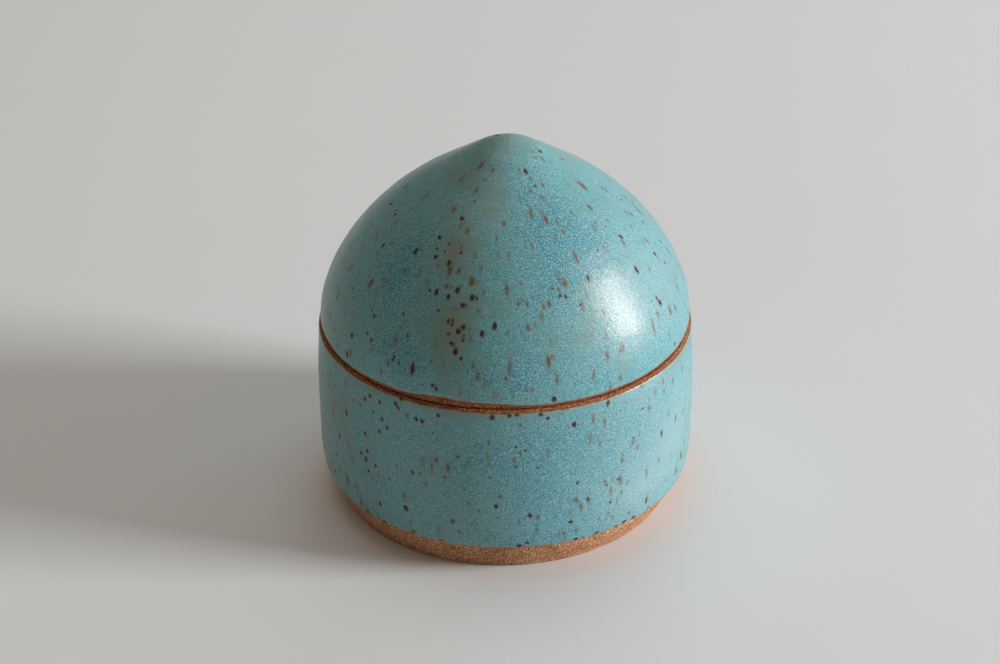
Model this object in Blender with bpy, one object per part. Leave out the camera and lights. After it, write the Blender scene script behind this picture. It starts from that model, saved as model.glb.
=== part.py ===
"""Lidded stoneware jar: a thrown, straight-walled jar and its loose dome lid.

The frame is in metres with +Z up. The origin is on the table, under the centre
of the jar's foot, and +Z is the axis that both pieces were turned around.
The jar stands on its foot ring. The lid rests on the jar's rim, and the flange
under it drops into the mouth and keeps it centred. It lifts straight off.
"""

import math

import bmesh
import bpy
from mathutils import Matrix, Vector

MM = 0.001

# Driving dimensions. A height is measured from the table and a radius from the axis.
# A pull is how far a curve follows the direction that it leaves a point in.
# Jar, outside: a bare band leans out from the foot, and the wall bellies slightly above it.
FOOT_RADIUS = 44.4 * MM
FOOT_RING_WIDTH = 8.0 * MM
FOOT_RECESS = 1.8 * MM
BAND_RADIUS = 48.9 * MM
BAND_HEIGHT = 8.7 * MM
BAND_PULL = (1.0 * MM, 2.0 * MM)
BELLY_RADIUS = 50.0 * MM
BELLY_LOW = 19.0 * MM
BELLY_LOW_PULL = 4.5 * MM
BELLY_HIGH = 29.0 * MM
BELLY_HIGH_PULL = 11.0 * MM
RIM_RADIUS = 49.2 * MM
RIM_HEIGHT = 49.7 * MM
RIM_PULL = (0.3 * MM, 7.0 * MM)
# Jar, inside.
FLOOR_HEIGHT = 8.0 * MM
FLOOR_ROUNDING = 9.0 * MM
MOUTH_RADIUS = 45.0 * MM

# Lid, outside: the dome leaves its edge almost upright and runs into a straight cone.
SEAT_GAP = 0.3 * MM
LID_RADIUS = 48.5 * MM
LID_EDGE_PULL = (0.7 * MM, 11.5 * MM)
SHOULDER_RADIUS = 22.0 * MM
SHOULDER_HEIGHT = 89.5 * MM
SHOULDER_PULL = 19.6 * MM
CONE_SLOPE = 0.64
TIP_ROUNDING = 17.0 * MM
# Lid, inside.
FLANGE_CLEARANCE = 1.2 * MM
FLANGE_DEPTH = 6.0 * MM
FLANGE_WALL = 3.0 * MM
HOLLOW_LOW_PULL = (2.7 * MM, 18.0 * MM)
HOLLOW_TOP_PULL = (20.0 * MM, 1.0 * MM)
TIP_WALL = 8.2 * MM

# Roundings of the clay's edges, and how finely round shapes are cut into faces.
LIP_ROUNDING = 0.8 * MM
EDGE_ROUNDING = 0.8 * MM
TURN_STEPS = 72
WALL_STEPS = 7
DOME_STEPS = 12
HOLLOW_STEPS = 10
FLOOR_STEPS = 6
EDGE_STEPS = 3
WELD_DISTANCE = 0.01 * MM
SHARP_ANGLE = math.radians(40)

GLAZE_COLOR = (0.17, 0.40, 0.43, 1.0)
GLAZE_ROUGHNESS = 0.38
GLAZE_METALLIC = 0.0


def clear_scene():
    """Remove every object that the file starts with."""
    for obj in list(bpy.data.objects):
        bpy.data.objects.remove(obj, do_unlink=True)


def glazed_stoneware(name):
    """Satin turquoise glaze."""
    material = bpy.data.materials.new(name)
    material.use_nodes = True
    shader = material.node_tree.nodes["Principled BSDF"]
    shader.inputs["Base Color"].default_value = GLAZE_COLOR
    shader.inputs["Roughness"].default_value = GLAZE_ROUGHNESS
    shader.inputs["Metallic"].default_value = GLAZE_METALLIC
    material.diffuse_color = GLAZE_COLOR
    return material


def bezier(start, pull_start, pull_end, end, steps):
    """Points of a cubic curve from start to end, both included."""
    points = []
    for step in range(steps + 1):
        t = step / steps
        s = 1.0 - t
        points.append(
            s**3 * Vector(start)
            + 3 * s * s * t * Vector(pull_start)
            + 3 * s * t * t * Vector(pull_end)
            + t**3 * Vector(end)
        )
    return points


def rounded(before, corner, after, radius, steps=EDGE_STEPS):
    """Points of the arc that rounds a corner between two straight runs."""
    corner = Vector(corner)
    back = (Vector(before) - corner).normalized()
    ahead = (Vector(after) - corner).normalized()
    half_angle = back.angle(ahead) / 2
    reach = radius / math.tan(half_angle)
    centre = corner + (back + ahead).normalized() * (radius / math.sin(half_angle))
    first = corner + back * reach - centre
    last = corner + ahead * reach - centre
    sweep = -first.angle_signed(last)
    points = []
    for step in range(steps + 1):
        spoke = first.copy()
        spoke.rotate(Matrix.Rotation(sweep * step / steps, 2))
        points.append(centre + spoke)
    return points


def turned(name, profile, material):
    """A solid of revolution about Z from (radius, height) points whose ends lie on the axis."""
    shape = bmesh.new()
    verts = [shape.verts.new((point.x, 0.0, point.y)) for point in profile]
    edges = [shape.edges.new(pair) for pair in zip(verts, verts[1:])]
    bmesh.ops.spin(
        shape,
        geom=verts + edges,
        cent=(0.0, 0.0, 0.0),
        axis=(0.0, 0.0, 1.0),
        angle=math.tau,
        steps=TURN_STEPS,
        use_merge=True,
    )
    bmesh.ops.remove_doubles(shape, verts=shape.verts, dist=WELD_DISTANCE)
    bmesh.ops.recalc_face_normals(shape, faces=shape.faces)

    mesh = bpy.data.meshes.new(name)
    shape.to_mesh(mesh)
    shape.free()
    mesh.shade_smooth()
    mesh.set_sharp_from_angle(angle=SHARP_ANGLE)
    mesh.materials.append(material)
    piece = bpy.data.objects.new(name, mesh)
    bpy.context.collection.objects.link(piece)
    return piece


def jar_profile():
    """From the middle of the floor, up the inside, over the rim and down to the foot."""
    floor_middle = (0.0, FLOOR_HEIGHT)
    floor_corner = (MOUTH_RADIUS, FLOOR_HEIGHT)
    mouth_edge = (MOUTH_RADIUS, RIM_HEIGHT)
    rim_edge = (RIM_RADIUS, RIM_HEIGHT)
    under_rim = (RIM_RADIUS, RIM_HEIGHT - LIP_ROUNDING)
    belly_high = (BELLY_RADIUS, BELLY_HIGH)
    belly_low = (BELLY_RADIUS, BELLY_LOW)
    band_top = (BAND_RADIUS, BAND_HEIGHT)
    foot_edge = (FOOT_RADIUS, 0.0)
    ring_inside = (FOOT_RADIUS - FOOT_RING_WIDTH, 0.0)
    recess_edge = (ring_inside[0] - FOOT_RECESS, FOOT_RECESS)
    recess_middle = (0.0, FOOT_RECESS)

    upper_wall = bezier(
        under_rim,
        (RIM_RADIUS + RIM_PULL[0], under_rim[1] - RIM_PULL[1]),
        (BELLY_RADIUS, BELLY_HIGH + BELLY_HIGH_PULL),
        belly_high,
        WALL_STEPS,
    )
    lower_wall = bezier(
        belly_low,
        (BELLY_RADIUS, BELLY_LOW - BELLY_LOW_PULL),
        (BAND_RADIUS + BAND_PULL[0], BAND_HEIGHT + BAND_PULL[1]),
        band_top,
        WALL_STEPS,
    )
    return [
        Vector(floor_middle),
        *rounded(floor_middle, floor_corner, mouth_edge, FLOOR_ROUNDING, FLOOR_STEPS),
        *rounded(floor_corner, mouth_edge, rim_edge, EDGE_ROUNDING),
        *rounded(mouth_edge, rim_edge, under_rim, LIP_ROUNDING)[:-1],
        *upper_wall,
        *lower_wall,
        *rounded(band_top, foot_edge, ring_inside, EDGE_ROUNDING),
        Vector(ring_inside),
        Vector(recess_edge),
        Vector(recess_middle),
    ]


def lid_profile():
    """From the tip, down the outside, in along the seat, round the flange and up the inside."""
    slope_angle = math.atan(CONE_SLOPE)
    tangent_radius = TIP_ROUNDING * math.sin(slope_angle)
    tangent_height = SHOULDER_HEIGHT + (SHOULDER_RADIUS - tangent_radius) * CONE_SLOPE
    tip_centre = tangent_height - TIP_ROUNDING * math.cos(slope_angle)
    tip_height = tip_centre + TIP_ROUNDING
    tip = []
    for step in range(EDGE_STEPS + 1):
        angle = slope_angle * step / EDGE_STEPS
        spoke = Vector((math.sin(angle), math.cos(angle))) * TIP_ROUNDING
        tip.append(Vector((0.0, tip_centre)) + spoke)

    seat_height = RIM_HEIGHT + SEAT_GAP
    flange_outer = MOUTH_RADIUS - FLANGE_CLEARANCE
    flange_inner = flange_outer - FLANGE_WALL
    flange_end = seat_height - FLANGE_DEPTH
    shoulder = Vector((SHOULDER_RADIUS, SHOULDER_HEIGHT))
    down_cone = Vector((1.0, -CONE_SLOPE)).normalized()
    edge_top = (LID_RADIUS, seat_height + EDGE_ROUNDING)
    seat_edge = (LID_RADIUS, seat_height)
    flange_root = (flange_outer, seat_height)
    flange_outer_end = (flange_outer, flange_end)
    flange_inner_end = (flange_inner, flange_end)
    hollow_low = (flange_inner, seat_height)
    hollow_top = (0.0, tip_height - TIP_WALL)

    dome = bezier(
        shoulder,
        shoulder + down_cone * SHOULDER_PULL,
        (LID_RADIUS + LID_EDGE_PULL[0], edge_top[1] + LID_EDGE_PULL[1]),
        edge_top,
        DOME_STEPS,
    )
    hollow = bezier(
        hollow_low,
        (flange_inner + HOLLOW_LOW_PULL[0], seat_height + HOLLOW_LOW_PULL[1]),
        (HOLLOW_TOP_PULL[0], hollow_top[1] - HOLLOW_TOP_PULL[1]),
        hollow_top,
        HOLLOW_STEPS,
    )
    return [
        *tip,
        *dome,
        *rounded(edge_top, seat_edge, flange_root, EDGE_ROUNDING)[1:],
        Vector(flange_root),
        *rounded(flange_root, flange_outer_end, flange_inner_end, EDGE_ROUNDING),
        *rounded(flange_outer_end, flange_inner_end, hollow_low, EDGE_ROUNDING),
        *hollow,
    ]


clear_scene()
turned("jar_body", jar_profile(), glazed_stoneware("Jar glaze"))
turned("dome_lid", lid_profile(), glazed_stoneware("Lid glaze"))
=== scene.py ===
"""Looks of the lidded stoneware jar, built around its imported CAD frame.

Both fired pieces are turned around Z. Each one is a clay body with two coats of glaze fused to it,
one outside and one inside, that leave the foot, the rim and the lid's flange bare.
Outlines are in millimetres, as (radius, height) points. A place on a piece is given by its angle,
0 at the front (-Y) and positive towards +X, and by its run: the length along the outline.
"""

import math

import bpy
import numpy as np
from mathutils import Matrix, Vector


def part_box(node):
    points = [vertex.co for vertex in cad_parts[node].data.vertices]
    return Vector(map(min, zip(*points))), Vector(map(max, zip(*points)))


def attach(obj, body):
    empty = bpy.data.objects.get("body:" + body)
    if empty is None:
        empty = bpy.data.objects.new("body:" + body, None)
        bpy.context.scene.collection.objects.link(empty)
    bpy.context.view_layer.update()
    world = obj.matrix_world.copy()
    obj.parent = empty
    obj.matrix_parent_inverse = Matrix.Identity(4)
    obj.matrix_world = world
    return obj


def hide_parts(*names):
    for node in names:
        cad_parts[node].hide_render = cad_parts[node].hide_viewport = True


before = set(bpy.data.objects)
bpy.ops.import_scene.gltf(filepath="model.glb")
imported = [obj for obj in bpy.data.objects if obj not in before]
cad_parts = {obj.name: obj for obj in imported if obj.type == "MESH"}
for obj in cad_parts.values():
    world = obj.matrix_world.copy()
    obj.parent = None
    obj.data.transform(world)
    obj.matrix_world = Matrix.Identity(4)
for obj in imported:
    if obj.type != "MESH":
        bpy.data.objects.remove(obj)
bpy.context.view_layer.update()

MM = 0.001
jar_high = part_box("jar_body")[1] / MM
lid_low, lid_high = (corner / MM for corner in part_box("dome_lid"))

# Jar outline. The widest radius and the rim's height are the frame's.
BELLY_RADIUS = jar_high.x
RIM_HEIGHT = jar_high.z
FOOT_RADIUS = 44.4
FOOT_RING_WIDTH = 8.0
FOOT_RECESS = 1.8
BAND_RADIUS = 48.9
BAND_HEIGHT = 8.7
BAND_PULL = (1.0, 2.0)
BELLY_LOW = 19.0
BELLY_LOW_PULL = 4.5
BELLY_HIGH = 29.0
BELLY_HIGH_PULL = 11.0
RIM_RADIUS = 49.2
RIM_PULL = (0.3, 7.0)
FLOOR_HEIGHT = 8.0
FLOOR_ROUNDING = 9.0
MOUTH_RADIUS = 45.0

# Lid outline. Its widest radius and the flange's end are the frame's.
SEAT_GAP = 0.3
LID_RADIUS = lid_high.x
FLANGE_END = lid_low.z
LID_EDGE_PULL = (0.7, 11.5)
SHOULDER_RADIUS = 22.0
SHOULDER_HEIGHT = 89.5
SHOULDER_PULL = 19.6
CONE_SLOPE = 0.64
TIP_ROUNDING = 17.0
FLANGE_CLEARANCE = 1.2
FLANGE_WALL = 3.0
HOLLOW_LOW_PULL = (2.7, 18.0)
HOLLOW_TOP_PULL = (20.0, 1.0)
TIP_WALL = 8.2
LIP_ROUNDING = 0.8
EDGE_ROUNDING = 0.8

# Both were thrown a little off true: the foot and the lid stray to one side, and the potter's
# fingers left fine rings, slow swells and flat facets round the wall.
FOOT_SHIFT = -0.45
LID_SHIFT = -0.09
LID_LEAN = 0.019
RING_HEIGHT = 0.006
SWELL_HEIGHT = 0.022
FACET_HEIGHT = 0.012

# Glaze: how thick it is, how deep its hidden side lies in the clay, how far it rolls down towards
# its edge, and the bead that it leaves beside it.
GLAZE_THICKNESS = 0.28
GLAZE_BITE = 0.15
GLAZE_ROLL = 0.9
GLAZE_BEAD = 0.05
BEAD_PLACE = 1.2
BEAD_WIDTH = 0.9

# Where the glaze ends: in and down from the jar's rim, down inside its mouth, and up from the seat.
LIP_MIDDLE = 48.0
RIM_LINE_IN = 0.22
RIM_LINE_DOWN = 0.25
JAR_LINER_DOWN = 2.5
LID_LINE_UP = 0.75
LID_LINER_UP = 1.5

# Meshes. The rows of bare clay are finer than those under glaze, and a coat's hidden side has
# enough rows to follow the clay round its inside curves. A texture share is how much texture a
# row gets for its width. Distances from spots and from edges are counted no further than FAR_.
OUTLINE_STEP = 0.05
FIRST_ANGLE = -math.pi / 2
CLAY_COLUMNS = 480
CLAY_ROW_STEP = 1.7
BARE_ROW_STEP = 0.33
BARE_ROW_FADE = 2.0
COAT_COLUMNS = 640
JAR_COAT_ROWS = 120
LID_COAT_ROWS = 148
LINER_ROWS = 110
HIDDEN_ROWS = 32
HIDDEN_TEXTURE_SHARE = 0.04
CLAY_TEXTURE_SHARE = 0.25
BARE_TEXTURE_EXTRA = 2.0
TEXTURE_MARGIN = 0.004
FAR_FROM_SPOT = 3.0
FAR_FROM_EDGE = 9.0


# ---------------------------------------------------------------- outlines
def curve(start, pull_start, pull_end, end, steps=80):
    """Points of a cubic curve from start to end."""
    t = np.linspace(0.0, 1.0, steps)[:, None]
    s = 1.0 - t
    a, b, c, d = (np.array(p, float) for p in (start, pull_start, pull_end, end))
    return s**3 * a + 3 * s * s * t * b + 3 * s * t * t * c + t**3 * d


def rounded(before, corner, after, radius, steps=16):
    """Points of the arc that rounds a corner between two straight runs."""
    corner = Vector(corner)
    back = (Vector(before) - corner).normalized()
    ahead = (Vector(after) - corner).normalized()
    half_angle = back.angle(ahead) / 2
    reach = radius / math.tan(half_angle)
    centre = corner + (back + ahead).normalized() * (radius / math.sin(half_angle))
    first = corner + back * reach - centre
    last = corner + ahead * reach - centre
    sweep = -first.angle_signed(last)
    points = []
    for step in range(steps + 1):
        spoke = first.copy()
        spoke.rotate(Matrix.Rotation(sweep * step / steps, 2))
        points.append(centre + spoke)
    return np.array(points)


class Outline:
    """A turned piece's outline, read by run. The clay lies to the right of it as the run grows."""

    def __init__(self, *stretches):
        points = np.concatenate([np.atleast_2d(np.array(s, float)) for s in stretches])
        step = np.hypot(*np.diff(points, axis=0).T)
        points = points[np.concatenate([[True], step > 1e-6])]
        run = np.concatenate([[0.0], np.cumsum(np.hypot(*np.diff(points, axis=0).T))])
        count = int(run[-1] / OUTLINE_STEP)
        self.runs = np.linspace(0.0, run[-1], count)
        self.radius = np.interp(self.runs, run, points[:, 0])
        self.height = np.interp(self.runs, run, points[:, 1])
        self.length = float(run[-1])
        along_r = smoothed(np.gradient(self.radius, self.runs), 5)
        along_z = smoothed(np.gradient(self.height, self.runs), 5)
        size = np.hypot(along_r, along_z)
        self.normal_r = -along_z / size
        self.normal_z = along_r / size

    def at(self, run, offset=0.0):
        """(radius, height) at each run, moved out of the clay by offset."""
        out_r = offset * np.interp(run, self.runs, self.normal_r)
        out_z = offset * np.interp(run, self.runs, self.normal_z)
        radius = np.interp(run, self.runs, self.radius) + out_r
        height = np.interp(run, self.runs, self.height) + out_z
        return np.maximum(radius, 0.0), height

    def run_at(self, radius, height):
        """The run of the outline's point nearest to this one."""
        return float(self.runs[np.argmin(np.hypot(self.radius - radius, self.height - height))])


def smoothed(values, width):
    """A moving average that keeps its length."""
    padded = np.pad(values, width, mode="edge")
    return np.convolve(padded, np.full(2 * width + 1, 1.0 / (2 * width + 1)), mode="valid")


def smoothstep(low, high, value):
    """Rises smoothly from 0 at low to 1 at high."""
    t = np.clip((value - low) / (high - low), 0.0, 1.0)
    return t * t * (3.0 - 2.0 * t)


def jar_outline():
    """From the middle of the floor, up the inside, over the rim and down to the foot."""
    floor_middle = (0.0, FLOOR_HEIGHT)
    floor_corner = (MOUTH_RADIUS, FLOOR_HEIGHT)
    mouth_edge = (MOUTH_RADIUS, RIM_HEIGHT)
    rim_edge = (RIM_RADIUS, RIM_HEIGHT)
    under_rim = (RIM_RADIUS, RIM_HEIGHT - LIP_ROUNDING)
    belly_high = (BELLY_RADIUS, BELLY_HIGH)
    belly_low = (BELLY_RADIUS, BELLY_LOW)
    band_top = (BAND_RADIUS, BAND_HEIGHT)
    foot_edge = (FOOT_RADIUS, 0.0)
    ring_inside = (FOOT_RADIUS - FOOT_RING_WIDTH, 0.0)
    recess_edge = (ring_inside[0] - FOOT_RECESS, FOOT_RECESS)
    recess_middle = (0.0, FOOT_RECESS)
    above_rim_pull = (RIM_RADIUS + RIM_PULL[0], under_rim[1] - RIM_PULL[1])
    band_pull = (BAND_RADIUS + BAND_PULL[0], BAND_HEIGHT + BAND_PULL[1])
    return Outline(
        floor_middle,
        rounded(floor_middle, floor_corner, mouth_edge, FLOOR_ROUNDING),
        rounded(floor_corner, mouth_edge, rim_edge, EDGE_ROUNDING),
        rounded(mouth_edge, rim_edge, under_rim, LIP_ROUNDING),
        curve(under_rim, above_rim_pull, (BELLY_RADIUS, BELLY_HIGH + BELLY_HIGH_PULL), belly_high),
        curve(belly_low, (BELLY_RADIUS, BELLY_LOW - BELLY_LOW_PULL), band_pull, band_top),
        rounded(band_top, foot_edge, ring_inside, EDGE_ROUNDING),
        rounded(foot_edge, ring_inside, recess_edge, EDGE_ROUNDING / 2),
        rounded(ring_inside, recess_edge, recess_middle, EDGE_ROUNDING / 2),
        recess_middle,
    )


def lid_outline():
    """From the tip, down the outside, in along the seat, round the flange and up the inside."""
    slope_angle = math.atan(CONE_SLOPE)
    tangent_radius = TIP_ROUNDING * math.sin(slope_angle)
    tangent_height = SHOULDER_HEIGHT + (SHOULDER_RADIUS - tangent_radius) * CONE_SLOPE
    tip_centre = tangent_height - TIP_ROUNDING * math.cos(slope_angle)
    turn = np.linspace(0.0, slope_angle, 24)
    tip = np.stack([np.sin(turn), np.cos(turn)], 1) * TIP_ROUNDING + (0.0, tip_centre)
    seat_height = RIM_HEIGHT + SEAT_GAP
    flange_outer = MOUTH_RADIUS - FLANGE_CLEARANCE
    flange_inner = flange_outer - FLANGE_WALL
    shoulder = Vector((SHOULDER_RADIUS, SHOULDER_HEIGHT))
    down_cone = Vector((1.0, -CONE_SLOPE)).normalized()
    edge_top = (LID_RADIUS, seat_height + EDGE_ROUNDING)
    edge_pull = (LID_RADIUS + LID_EDGE_PULL[0], edge_top[1] + LID_EDGE_PULL[1])
    seat_edge = (LID_RADIUS, seat_height)
    flange_root = (flange_outer, seat_height)
    flange_outer_end = (flange_outer, FLANGE_END)
    flange_inner_end = (flange_inner, FLANGE_END)
    hollow_low = (flange_inner, seat_height)
    hollow_top = (0.0, tip_centre + TIP_ROUNDING - TIP_WALL)
    hollow_low_pull = (flange_inner + HOLLOW_LOW_PULL[0], seat_height + HOLLOW_LOW_PULL[1])
    hollow_top_pull = (HOLLOW_TOP_PULL[0], hollow_top[1] - HOLLOW_TOP_PULL[1])
    return Outline(
        tip,
        curve(shoulder, shoulder + down_cone * SHOULDER_PULL, edge_pull, edge_top),
        rounded(edge_top, seat_edge, flange_root, EDGE_ROUNDING),
        rounded(seat_edge, flange_root, flange_outer_end, EDGE_ROUNDING / 2),
        rounded(flange_root, flange_outer_end, flange_inner_end, EDGE_ROUNDING),
        rounded(flange_outer_end, flange_inner_end, hollow_low, EDGE_ROUNDING),
        curve(hollow_low, hollow_low_pull, hollow_top_pull, hollow_top),
    )


# ---------------------------------------------------------------- places on a piece
def angles_of(columns):
    """The angle of each column, round from the left-hand side."""
    return FIRST_ANGLE + np.arange(columns) * math.tau / columns


def wavy(angle, seed, size, slowest=3, fastest=70):
    """A closed wavy line round the piece: many waves, the fast ones smaller."""
    rng = np.random.default_rng(seed)
    line = np.zeros_like(angle)
    for wave in range(slowest, fastest):
        line += math.sqrt(slowest / wave) ** 1.6 * np.sin(wave * angle + rng.uniform(0, math.tau))
    return size * line / np.abs(line).max()


def bump_at(angle, centre_deg, width_deg):
    """A smooth bump of height 1 round an angle."""
    away = (angle - math.radians(centre_deg) + math.pi) % math.tau - math.pi
    return np.exp(-((away / math.radians(width_deg)) ** 2))


# ---------------------------------------------------------------- meshes
def spread(rows, fine_at, length, fine=0.12, reach=1.6):
    """Shares from 0 to 1 that crowd towards the ends named in fine_at."""
    t = np.linspace(0.0, 1.0, 2000)
    gap = np.ones_like(t)
    for end in fine_at:
        gap -= (1.0 - fine) * np.exp(-((np.abs(t - end) * length / reach) ** 2))
    share = np.concatenate([[0.0], np.cumsum(1.0 / gap[1:])])
    return np.interp(np.linspace(0.0, share[-1], rows), share, t)


def turned_mesh(name, rows, open_ring, fields, importance):
    """A closed mesh from rows of points round Z.

    rows has shape (rows, columns, 3), in millimetres. The first and last rows lie on the axis,
    or, with open_ring, the last row joins the first. fields are (rows, columns[, 3]) arrays.
    importance says how much texture each row gets for its width.
    """
    count, columns = rows.shape[:2]
    keep = np.ones((count, columns), bool)
    if open_ring:
        index = np.arange(count * columns).reshape(count, columns)
        index = np.concatenate([index, index[:1]])
    else:
        inner = np.arange((count - 2) * columns).reshape(count - 2, columns) + 1
        last = inner.size + 1
        index = np.concatenate([np.zeros((1, columns), int), inner, np.full((1, columns), last)])
        keep[0, 1:] = False
        keep[-1, 1:] = False
    points = rows[keep]
    a = index[:-1]
    b = index[1:]
    quads = np.stack([a, b, np.roll(b, -1, 1), np.roll(a, -1, 1)], -1).reshape(-1, 4)
    quad_uv = strip_uv(rows, open_ring, importance).reshape(-1, 4, 2)
    if enclosed_volume(points, quads) < 0.0:
        quads = quads[:, ::-1]
        quad_uv = quad_uv[:, ::-1]
    loops, starts, loop_uv = [], [], []
    start = 0
    for quad, places in zip(quads.tolist(), quad_uv.tolist()):
        seen = []
        for vertex, place in zip(quad, places):
            if vertex not in seen:
                seen.append(vertex)
                loop_uv.append(place)
        loops.extend(seen)
        starts.append(start)
        start += len(seen)
    mesh = bpy.data.meshes.new(name)
    mesh.vertices.add(len(points))
    mesh.vertices.foreach_set("co", (points * MM).astype(np.float32).ravel())
    mesh.loops.add(len(loops))
    mesh.loops.foreach_set("vertex_index", np.array(loops, np.int32))
    mesh.polygons.add(len(starts))
    mesh.polygons.foreach_set("loop_start", np.array(starts, np.int32))
    mesh.update(calc_edges=True)
    layer = mesh.uv_layers.new(name="OFBake")
    layer.data.foreach_set("uv", np.array(loop_uv, np.float32).ravel())
    for field_name, values in fields.items():
        vector = values.ndim == 3
        attribute = mesh.attributes.new(field_name, "FLOAT_VECTOR" if vector else "FLOAT", "POINT")
        flat = values[keep].astype(np.float32).ravel()
        attribute.data.foreach_set("vector" if vector else "value", flat)
    mesh.shade_smooth()
    return mesh


def enclosed_volume(points, quads):
    """The volume inside a closed mesh: below 0 if its faces point inwards."""
    a, b, c, d = (points[quads[:, corner]] for corner in range(4))
    return float((np.cross(a, b) * c + np.cross(a, c) * d).sum()) / 6.0


def strip_uv(points, open_ring, importance):
    """A place in the unit square for each quad's corners: the back half over the front half."""
    ring = np.concatenate([points, points[:1]]) if open_ring else points
    rows, columns = ring.shape[:2]
    step = np.linalg.norm(np.diff(ring[:, 0], axis=0), axis=-1) * importance[: rows - 1]
    run = np.concatenate([[0.0], np.cumsum(step)])
    run /= run[-1]
    half = columns // 2
    column = np.arange(columns)
    left = (column % half) / half
    right = left + 1.0 / half
    low = (column // half) * 0.5
    u = np.stack([left, left, right, right], -1)[None].repeat(rows - 1, 0)
    v = np.stack([run[:-1], run[1:], run[1:], run[:-1]], -1)[:, None].repeat(columns, 1)
    u = TEXTURE_MARGIN + (1.0 - 2 * TEXTURE_MARGIN) * u
    v = low[None, :, None] + TEXTURE_MARGIN + (0.5 - 2 * TEXTURE_MARGIN) * v
    return np.stack([u, v], -1)


def piece(name, mesh, material, body, replaced=None):
    """Puts a mesh in the scene as a piece that rides on a body."""
    mesh.materials.append(material)
    made = bpy.data.objects.new(name, mesh)
    bpy.context.scene.collection.objects.link(made)
    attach(made, body)
    if replaced:
        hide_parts(replaced)
    return made


# ---------------------------------------------------------------- the two fired pieces
def thrown(angle, run):
    """How far the potter's fingers pushed the wall out, in millimetres."""
    ring = np.sin(2.05 * run + 1.3 * np.sin(0.31 * run) + 0.7 * np.sin(angle + 0.4))
    swell = np.sin(0.83 * run + 0.9 * np.sin(angle - 1.1) + 2.0)
    facet = np.sin(5 * angle + 0.11 * run) + 0.7 * np.sin(9 * angle - 0.07 * run + 1.0)
    return RING_HEIGHT * ring + SWELL_HEIGHT * swell + FACET_HEIGHT * facet


def foot_stray(height):
    """How far the foot strays towards +X, fading out at the top of the bare band."""
    return FOOT_SHIFT * (1.0 - smoothstep(0.0, BAND_HEIGHT, height))


def lid_stray(height):
    """How far the lid strays towards +X: it leans a little."""
    return LID_SHIFT + LID_LEAN * np.maximum(height - RIM_HEIGHT, 0.0)


def placed(outline, angle, run, offset, stray):
    """Points at each angle and run, moved out of the clay by offset."""
    radius, height = outline.at(run, offset)
    x = radius * np.sin(angle) + stray(height)
    y = -radius * np.cos(angle) + 0.0 * height
    return np.stack([x, y, height + 0.0 * x], -1)


def flow_of(angle, run):
    """Where a point lies on the unrolled surface, wrapped round a cylinder so that it has no seam."""
    round_x = BELLY_RADIUS * np.sin(angle) + 0.0 * run
    round_y = -BELLY_RADIUS * np.cos(angle) + 0.0 * run
    return np.stack([round_x, round_y, -run], -1)


def within(run, low_out, low_in, high_in, high_out):
    """1 between low_in and high_in, and 0 outside low_out and high_out."""
    return smoothstep(low_out, low_in, run) * (1.0 - smoothstep(high_in, high_out, run))


def clay_body(name, outline, sunk, toasted, bare, stained, stray):
    """A whole piece's clay.

    sunk is the stretch under the outer glaze and toasted is a darker one, as runs for within().
    bare are the stretches that show, and stained are the lines beside which glaze begins.
    """
    fine = np.zeros_like(outline.runs)
    for low, high in bare:
        shown = within(outline.runs, low - BARE_ROW_FADE, low, high, high + BARE_ROW_FADE)
        fine = np.maximum(fine, shown)
    density = np.interp(fine, [0.0, 1.0], [1 / CLAY_ROW_STEP, 1 / BARE_ROW_STEP])
    share = np.concatenate([[0.0], np.cumsum(density[1:] * np.diff(outline.runs))])
    rows = int(share[-1])
    run = np.interp(np.linspace(0.0, share[-1], rows), share, outline.runs)[:, None]
    angle = angles_of(CLAY_COLUMNS)[None]
    under = within(run, *sunk)
    offset = (thrown(angle, run) - GLAZE_THICKNESS) * under
    points = placed(outline, angle, run, offset, stray)
    edge = np.full(points.shape[:2], FAR_FROM_EDGE)
    for line in stained:
        edge = np.minimum(edge, np.abs(run - line(angle)))
    toast = within(run, *toasted) + 0.0 * angle
    fields = {"flow": flow_of(angle, run + 0.0 * angle), "edge": edge, "toast": toast}
    texture_share = CLAY_TEXTURE_SHARE + BARE_TEXTURE_EXTRA * fine
    importance = np.interp(run[:, 0], outline.runs, texture_share)
    return turned_mesh(name, points, False, fields, importance)


def glaze_coat(name, outline, lines, axis_run, rows, base, stray, look):
    """A closed skin of glaze on a piece.

    lines gives its free edges: one line if it reaches the axis at axis_run, or its first and last
    lines. Its skin rises base plus its thickness from the outline, and rolls down at its edges.
    """
    angle = angles_of(COAT_COLUMNS)[None]
    ring = len(lines) == 2
    first = lines[0](angle) if ring else np.full_like(angle, axis_run)
    last = lines[-1](angle)
    length = float(np.abs(last - first).mean())
    share = spread(rows, (0.0, 1.0) if ring else (1.0,), length)[:, None]
    run = first + (last - first) * share
    edge = np.abs(last - run)
    if ring:
        edge = np.minimum(edge, np.abs(run - first))
    roll = np.sqrt(1.0 - (1.0 - np.clip(edge / GLAZE_ROLL, 0.0, 1.0)) ** 2)
    bead = GLAZE_BEAD * np.exp(-(((edge - BEAD_PLACE) / BEAD_WIDTH) ** 2)) * roll
    rise = base + GLAZE_THICKNESS * roll + bead + thrown(angle, run)
    outer = placed(outline, angle, run, rise, stray)
    back_share = np.linspace(1.0, 0.0, HIDDEN_ROWS)[:, None]
    back_run = first + (last - first) * back_share
    inner = placed(outline, angle, back_run, base - GLAZE_BITE, stray)
    every_run = np.concatenate([run, back_run])
    every_edge = np.concatenate([edge, np.zeros_like(back_run)])
    points = np.concatenate([outer, inner])
    fields = {"flow": flow_of(angle, every_run), "edge": every_edge}
    fields.update(look(outline, angle, every_run))
    importance = np.concatenate([np.ones(rows), np.full(HIDDEN_ROWS, HIDDEN_TEXTURE_SHARE)])
    return turned_mesh(name, points, ring, fields, importance)


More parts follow.
